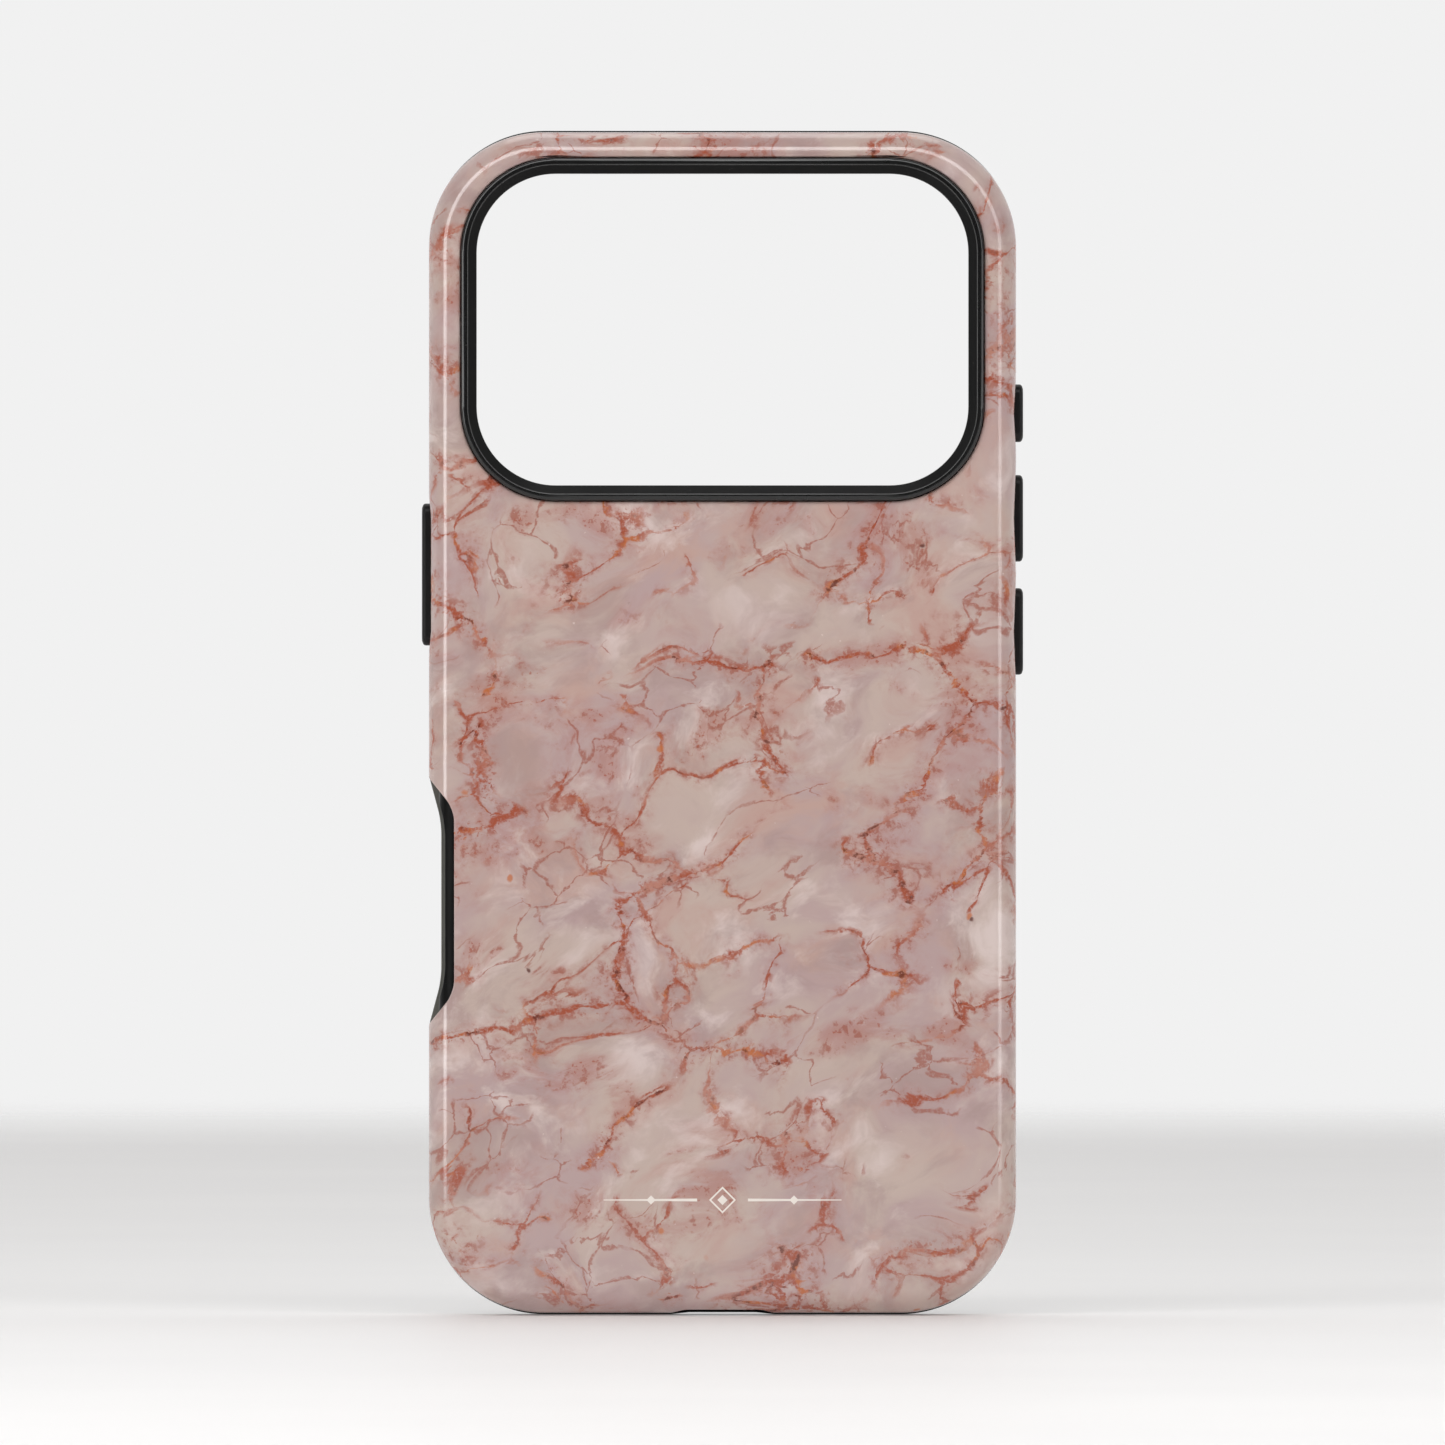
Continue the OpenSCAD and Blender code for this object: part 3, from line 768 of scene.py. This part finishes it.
def makeMarble():
    finish = Finish("pinkMarblePrint")
    size = marbleSizes
    share = size["share"]
    point = finish.place()
    grain = finish.turned(point, turn=(0, math.radians(size["turn"]), 0))
    grain = finish.vectors("MULTIPLY", grain, size["stretch"])
    bent = finish.bent(grain, *size["bigBend"])
    bent = finish.bent(bent, *size["smallBend"])
    jagged = finish.bent(bent, *size["jag"])
    longAway, longCracks, longShown = marbleVein(finish, jagged, *size["longCracks"])
    middleAway, middleCracks, middleShown = marbleVein(finish, jagged, *size["middleCracks"])
    fineCracks = marbleVein(finish, jagged, *size["fineCracks"])[1]

    # soft plates: mauve, cream and peach, dim in places and milky inside the cracks
    ground = finish.blend(finish.patches(bent, *size["creamPatch"]), size["mauve"], size["cream"])
    peach = finish.patches(finish.turned(bent, (50, 0, 9)), *size["peachPatch"])
    ground = finish.blend(peach, ground, size["peach"])
    dim = finish.patches(finish.turned(bent, (8, 60, -14)), *size["duskPatch"])
    ground = finish.blend(dim * share["dusk"], ground, size["dusk"])
    milk = finish.patches(finish.turned(bent, (-20, 4, 33)), *size["milkPatch"])
    ground = finish.blend(milk * finish.step(longAway, *size["milkInside"]), ground, size["milk"])

    # red clouds in long bands, with crumbs in them and along the cracks
    band = finish.turned(point, turn=(0, math.radians(size["bandTurn"]), 0))
    band = finish.vectors("MULTIPLY", finish.bent(band, *size["bandBend"]), size["bandStretch"])
    band = finish.patches(band, *size["bandPatch"])
    cloud = band * finish.patches(bent, *size["cloudPatch"])
    ground = finish.blend(cloud * share["cloud"], ground, size["rose"])
    crumbs = finish.noise(finish.bent(point, *size["crumbBend"]), *size["crumbs"])
    halo = (1 - finish.step(longAway, *size["longHalo"])) * longShown
    middleHalo = (1 - finish.step(middleAway, *size["middleHalo"])) * middleShown
    halo = finish.maths("MAXIMUM", halo, middleHalo * 0.8)
    reddened = halo * finish.step(crumbs, *size["roseCrumbs"])
    ground = finish.blend(reddened * share["halo"], ground, size["rose"])
    near = finish.maths("MAXIMUM", halo * 0.8, cloud)
    crumbs = finish.step(crumbs, *size["stainCrumbs"]) * finish.step(near, *size["stainNear"])
    ground = finish.blend(crumbs * share["crumb"], ground, size["stain"])
    flecks = finish.patches(finish.turned(point, (9, 9, 9)), *size["fleckPatch"])
    flecks = flecks * finish.step(near, *size["fleckNear"])
    ground = finish.blend(flecks * share["fleck"], ground, size["rust"])

    # the cracks themselves, rust with faded and orange stretches and dark knots
    ragged = finish.patches(point, *size["raggedPatch"])
    shade = finish.blend(finish.patches(point, *size["fadedPatch"]), size["rust"], size["faded"])
    orange = finish.patches(finish.turned(point, (4, 9, 70)), *size["orangePatch"])
    shade = finish.blend(orange * share["orange"], shade, size["orange"])
    ground = finish.blend(fineCracks * ragged * share["fine"], ground, size["stain"])
    ground = finish.blend(middleCracks * ragged * share["middle"], ground, shade)
    ground = finish.blend(longCracks * ragged, ground, shade)
    core = finish.patches(point, *size["corePatch"])
    core = core * finish.step(longCracks + middleCracks * 0.8, *size["coreNear"])
    ground = finish.blend(core * share["core"], ground, size["dark"])

    # a few small orange and dark spots, some milky specks
    gap = size["spotGap"]
    spots = finish.cells(finish.bent(point, *size["spotBend"]), gap, "F1", "Distance") * gap
    sort = finish.along(finish.cells(finish.bent(point, *size["spotBend"]), gap, "F1", "Color"), 0)
    orange = (1 - finish.step(spots, *size["orangeSpot"])) * finish.step(sort, *size["orangeSort"])
    ground = finish.blend(orange * share["orangeSpot"], ground, size["orange"])
    dark = (1 - finish.step(spots, *size["darkSpot"])) * (1 - finish.step(sort, *size["darkSort"]))
    ground = finish.blend(dark * share["darkSpot"], ground, size["dark"])
    specks = finish.patches(point, *size["speckPatch"])
    ground = finish.blend(specks * share["speck"], ground, size["milk"])
    ground = finish.blend(ornamentMask(finish, point), ground, size["ivory"])

    rough = finish.patches(point, *size["dullPatch"])
    ripple = finish.bump(finish.noise(point, *size["ripple"]), size["rippleDepth"], 0.2)
    return finish.shader({"Base Color": ground, "Roughness": rough, "IOR": 1.5, "Specular IOR Level": 0.8,
                          "Normal": ripple})


rubberSizes = {
    # shade, gloss and roughness of each
    "liner": ((6, 6, 6), 0.14, 0.42), "web": ((9, 9, 9), 0.3, 0.5), "key": ((7, 7, 7), 0.3, 0.42),
    "smudge": (14, 4, 0.6, 0.35, 0.7), "smudgeLift": 6,
    "dust": (0.5, 2, 0.5, 0.74, 0.8), "dustShare": 0.25, "dustShade": tint(88, 86, 84),
    "patch": (5, 4, 0.6, 0.3, 0.7), "patchSmoother": 0.05, "patchRougher": 0.06,
    "thumb": (0.3, 1.1), "thumbPolish": 0.12,
    # depths and heights in millimetres, where an edge starts to fade and where it ends
    "beadTo": (-3.0, -2.8), "beadRough": 0.13,
    "ledgeFrom": (7.95, 8.05), "ledgeTo": (8.2, 8.3), "ledgeEnd": (15.5, 16.5),
    # painted sheen: the light grey given to the ledge behind the lip, for the light it reflects
    "paintedLedgeSheen": tint(108, 108, 103),
    "grain": (0.16, 2, 0.5), "grainDepth": 0.02 * mm, "grainShare": 0.3,
}


def makeRubber(name, shade, gloss, rough, polished=None, lined=False):
    # matt black elastomer with a fine spark-eroded grain
    finish = Finish(name)
    size = rubberSizes
    point = finish.place()
    lighter = [value + size["smudgeLift"] for value in shade]
    colour = finish.blend(finish.patches(point, *size["smudge"]), tint(*shade), tint(*lighter))
    dust = finish.patches(point, *size["dust"])
    colour = finish.blend(dust * size["dustShare"], colour, size["dustShade"])
    rough = finish.patches(point, *size["patch"], rough - size["patchSmoother"], rough + size["patchRougher"])
    if polished:
        # thumbs have polished the middle of the key
        middle, half = polished
        offset = finish.vectors("SUBTRACT", point, middle)
        offset = finish.vectors("DIVIDE", offset, half)
        near = 1 - finish.step(finish.length(offset), *size["thumb"])
        rough = rough - near * size["thumbPolish"]
    sockets = {}
    if lined:
        # the collar's bead is smooth, and the ledge behind the lip gets a painted sheen: light grey colour
        # standing in for the light it reflects
        depth = finish.along(point, 1)
        bead = 1 - finish.step(depth, *size["beadTo"])
        sockets = {"Coat Weight": bead, "Coat Roughness": size["beadRough"]}
        beside = finish.maths("ABSOLUTE", finish.along(point, 2) - controlMiddle.z / mm)
        ledgeSheen = finish.step(depth, *size["ledgeFrom"]) * (1 - finish.step(depth, *size["ledgeTo"]))
        ledgeSheen = ledgeSheen * (1 - finish.step(beside, *size["ledgeEnd"]))
        # painted sheen: the ledge is blended to light grey as if it caught the light
        colour = finish.blend(ledgeSheen, colour, size["paintedLedgeSheen"])
    grain = finish.bump(finish.noise(point, *size["grain"]), size["grainDepth"], size["grainShare"])
    return finish.shader({"Base Color": colour, "Roughness": rough, "IOR": 1.5, "Specular IOR Level": gloss,
                          "Normal": grain, **sockets})


# floor, light and camera

studioSizes = {
    "floorHalf": 2.1, "floorFade": (1.3, 2.05), "floorGlow": 0.1, "floorGlowFrom": (-0.65, 0.05),
    "floorCloud": (0.12, 4, 0.5), "floorShades": (tint(232, 231, 231), tint(240, 239, 238)),
    "floorRough": 0.5,
    "backdrop": 0.88, "backdropFar": 5.0,
    "behind": 0.85, "front": 0.1, "roomFade": (-0.35, 0.45), "roomTint": (1, 0.99, 0.985, 1),
    "distance": 3.5, "frameHeight": 190 * mm, "sensor": 36.0,
    "ringTilts": (35.1, 50.1), "ringFar": 1.2, "ringSteps": 96, "ringTurn": (-0.1, 0.1),
    "ringPower": {"left": 4.6, "top": 4.6, "right": 2.4, "bottom": 0.9},
    "softboxAt": (0, 0.9, 1.7), "softboxWide": 1.2, "softboxPower": 5.0,
    "cardFar": 1.9, "cardHalf": 1.0, "cardShade": tint(12, 12, 12), "cardRough": 0.9,
}


def makeFloor():
    size = studioSizes
    leaveEditing()
    bpy.ops.mesh.primitive_circle_add(vertices=96, radius=size["floorHalf"], fill_type="NGON",
                                      location=(0, 0, cadBox[0].z))
    floor = bpy.context.object
    floor.name = "paleFloor"
    finish = Finish("paleFloor")
    coords = finish.node("ShaderNodeTexCoord", output="Object")
    colour = finish.blend(finish.noise(coords, *size["floorCloud"]), *size["floorShades"])
    # the far part glows a little, as the ring light reaches the near part more
    glow = finish.step(finish.along(coords, 1), *size["floorGlowFrom"])
    glow = finish.blend(glow, (0, 0, 0, 1), (1, 1, 1, 1))
    surface = finish.node("ShaderNodeBsdfPrincipled", None,
                          {"Base Color": colour, "Roughness": size["floorRough"], "Emission Color": glow,
                           "Emission Strength": size["floorGlow"]}, "BSDF")
    clear = finish.node("ShaderNodeBsdfTransparent")
    # it fades out before its rim
    rim = finish.step(finish.length(coords), *size["floorFade"])
    mix = finish.node("ShaderNodeMixShader", None, {0: rim, 1: surface, 2: clear})
    finish.node("ShaderNodeOutputMaterial", None, {"Surface": mix}, 0)
    setMaterial(floor, finish)


def makeCard():
    # a black card that the camera looks through keeps the flat back and the rubber dark
    size = studioSizes
    leaveEditing()
    bpy.ops.mesh.primitive_circle_add(vertices=64, radius=size["cardHalf"], fill_type="NGON",
                                      location=(0, -size["cardFar"], 0), rotation=(math.radians(90), 0, 0))
    card = bpy.context.object
    card.name = "blackCard"
    card.visible_camera = False
    finish = Finish("blackCard")
    setMaterial(card, finish.shader({"Base Color": size["cardShade"], "Roughness": size["cardRough"]}))


def makeBackdrop():
    # a pale shell all round that only the camera sees
    size = studioSizes
    leaveEditing()
    bpy.ops.mesh.primitive_uv_sphere_add(segments=48, ring_count=24, radius=size["backdropFar"])
    backdrop = bpy.context.object
    backdrop.name = "paleBackdrop"
    backdrop.visible_diffuse = False
    backdrop.visible_glossy = False
    backdrop.visible_transmission = False
    backdrop.visible_shadow = False
    finish = Finish("paleBackdrop")
    glow = finish.node("ShaderNodeEmission", None, {"Color": (1, 1, 1, 1), "Strength": size["backdrop"]})
    finish.node("ShaderNodeOutputMaterial", None, {"Surface": glow})
    setMaterial(backdrop, finish)


def makeWorld():
    # the room is pale behind the object and dim in front of it
    size = studioSizes
    room = Finish("room")
    world = bpy.data.worlds.new("studio")
    bpy.context.scene.world = world
    world.use_nodes = True
    room.tree = world.node_tree
    room.tree.nodes.clear()
    depth = room.along(room.node("ShaderNodeTexCoord", output="Generated"), 1)
    strength = room.step(depth, *size["roomFade"], size["front"], size["behind"])
    glow = room.node("ShaderNodeBackground", None, {"Color": size["roomTint"], "Strength": strength})
    room.node("ShaderNodeOutputWorld", None, {"Surface": glow})


def makeRingLight():
    # a soft ring round the line of sight, brightest on the left and above, that the camera looks through
    size = studioSizes
    power = size["ringPower"]
    leaveEditing()
    inner, outer = [Vector((0, -math.cos(math.radians(tilt)), math.sin(math.radians(tilt)))) * size["ringFar"]
                    for tilt in size["ringTilts"]]
    bpy.ops.mesh.primitive_circle_add(vertices=size["ringSteps"], radius=inner.z, location=(0, inner.y, 0),
                                      rotation=(math.radians(90), 0, 0))
    bpy.ops.object.transform_apply(location=True, rotation=True, scale=True)
    ring = bpy.context.object
    ring.name = "ringLight"
    ring.visible_camera = False
    startEditing(ring)
    bpy.ops.mesh.select_all(action="SELECT")
    bpy.ops.mesh.extrude_region_move(TRANSFORM_OT_translate={"value": (0, outer.y - inner.y, 0)})
    grow = outer.z / inner.z
    bpy.ops.transform.resize(value=(grow, 1, grow), center_override=(0, outer.y, 0))
    leaveEditing()
    finish = Finish("ringLight")
    way = finish.node("ShaderNodeTexCoord", output="Object")
    way = finish.vectors("NORMALIZE", finish.vectors("MULTIPLY", way, (1, 0, 1)))
    across, up = finish.along(way, 0), finish.along(way, 2)
    side = finish.step(across, *size["ringTurn"], power["left"], power["right"])
    pole = finish.step(up, *size["ringTurn"], power["bottom"], power["top"])
    share = (across * across * side + up * up * pole) / power["left"]
    glow = finish.node("ShaderNodeEmission", None, {"Color": share, "Strength": power["left"]})
    finish.node("ShaderNodeOutputMaterial", None, {"Surface": glow})
    setMaterial(ring, finish)


def makeSoftbox():
    # a large weak softbox above and behind, mostly for the floor
    size = studioSizes
    light = bpy.data.lights.new("softbox", "AREA")
    light.shape = "SQUARE"
    light.size = size["softboxWide"]
    light.energy = size["softboxPower"]
    lamp = bpy.data.objects.new("softbox", light)
    bpy.context.collection.objects.link(lamp)
    lamp.location = size["softboxAt"]
    lamp.visible_camera = False


def makeCamera():
    size = studioSizes
    camera = bpy.data.cameras.new("camera")
    camera.sensor_width = size["sensor"]
    camera.lens = size["sensor"] * (size["distance"] + cadBox[0].y) / size["frameHeight"]
    holder = bpy.data.objects.new("camera", camera)
    bpy.context.collection.objects.link(holder)
    holder.location = (0, -size["distance"], 0)
    holder.rotation_euler = (math.radians(90), 0, 0)
    bpy.context.scene.camera = holder
    bpy.context.scene.view_settings.view_transform = "Standard"


# putting it together

makeCamera()
makeWorld()
makeBackdrop()
makeRingLight()
makeSoftbox()
makeFloor()
makeCard()
print("studio ready")

shell = makeShell()
setMaterial(shell, makeMarble())
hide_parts("outer_shell")
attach(shell, "case")
print("shell done")

liner = makeLiner()
setMaterial(liner, makeRubber("linerRubber", *rubberSizes["liner"], lined=True))
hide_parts("inner_liner")
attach(liner, "case")
print("liner done")

webRubber = makeRubber("webRubber", *rubberSizes["web"])
for name, (low, high) in keyBoxes.items():
    middle, half = (low + high) / 2 / mm, (high - low) / 2 / mm
    key = makeKey(name)
    setMaterial(key, makeRubber(name + "Rubber", *rubberSizes["key"], (middle, half)))
    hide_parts(name)
    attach(key, name)
    web = makeWeb(name)
    setMaterial(web, webRubber)
    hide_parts(name + "_web")
    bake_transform(web)
    print(name, "done")
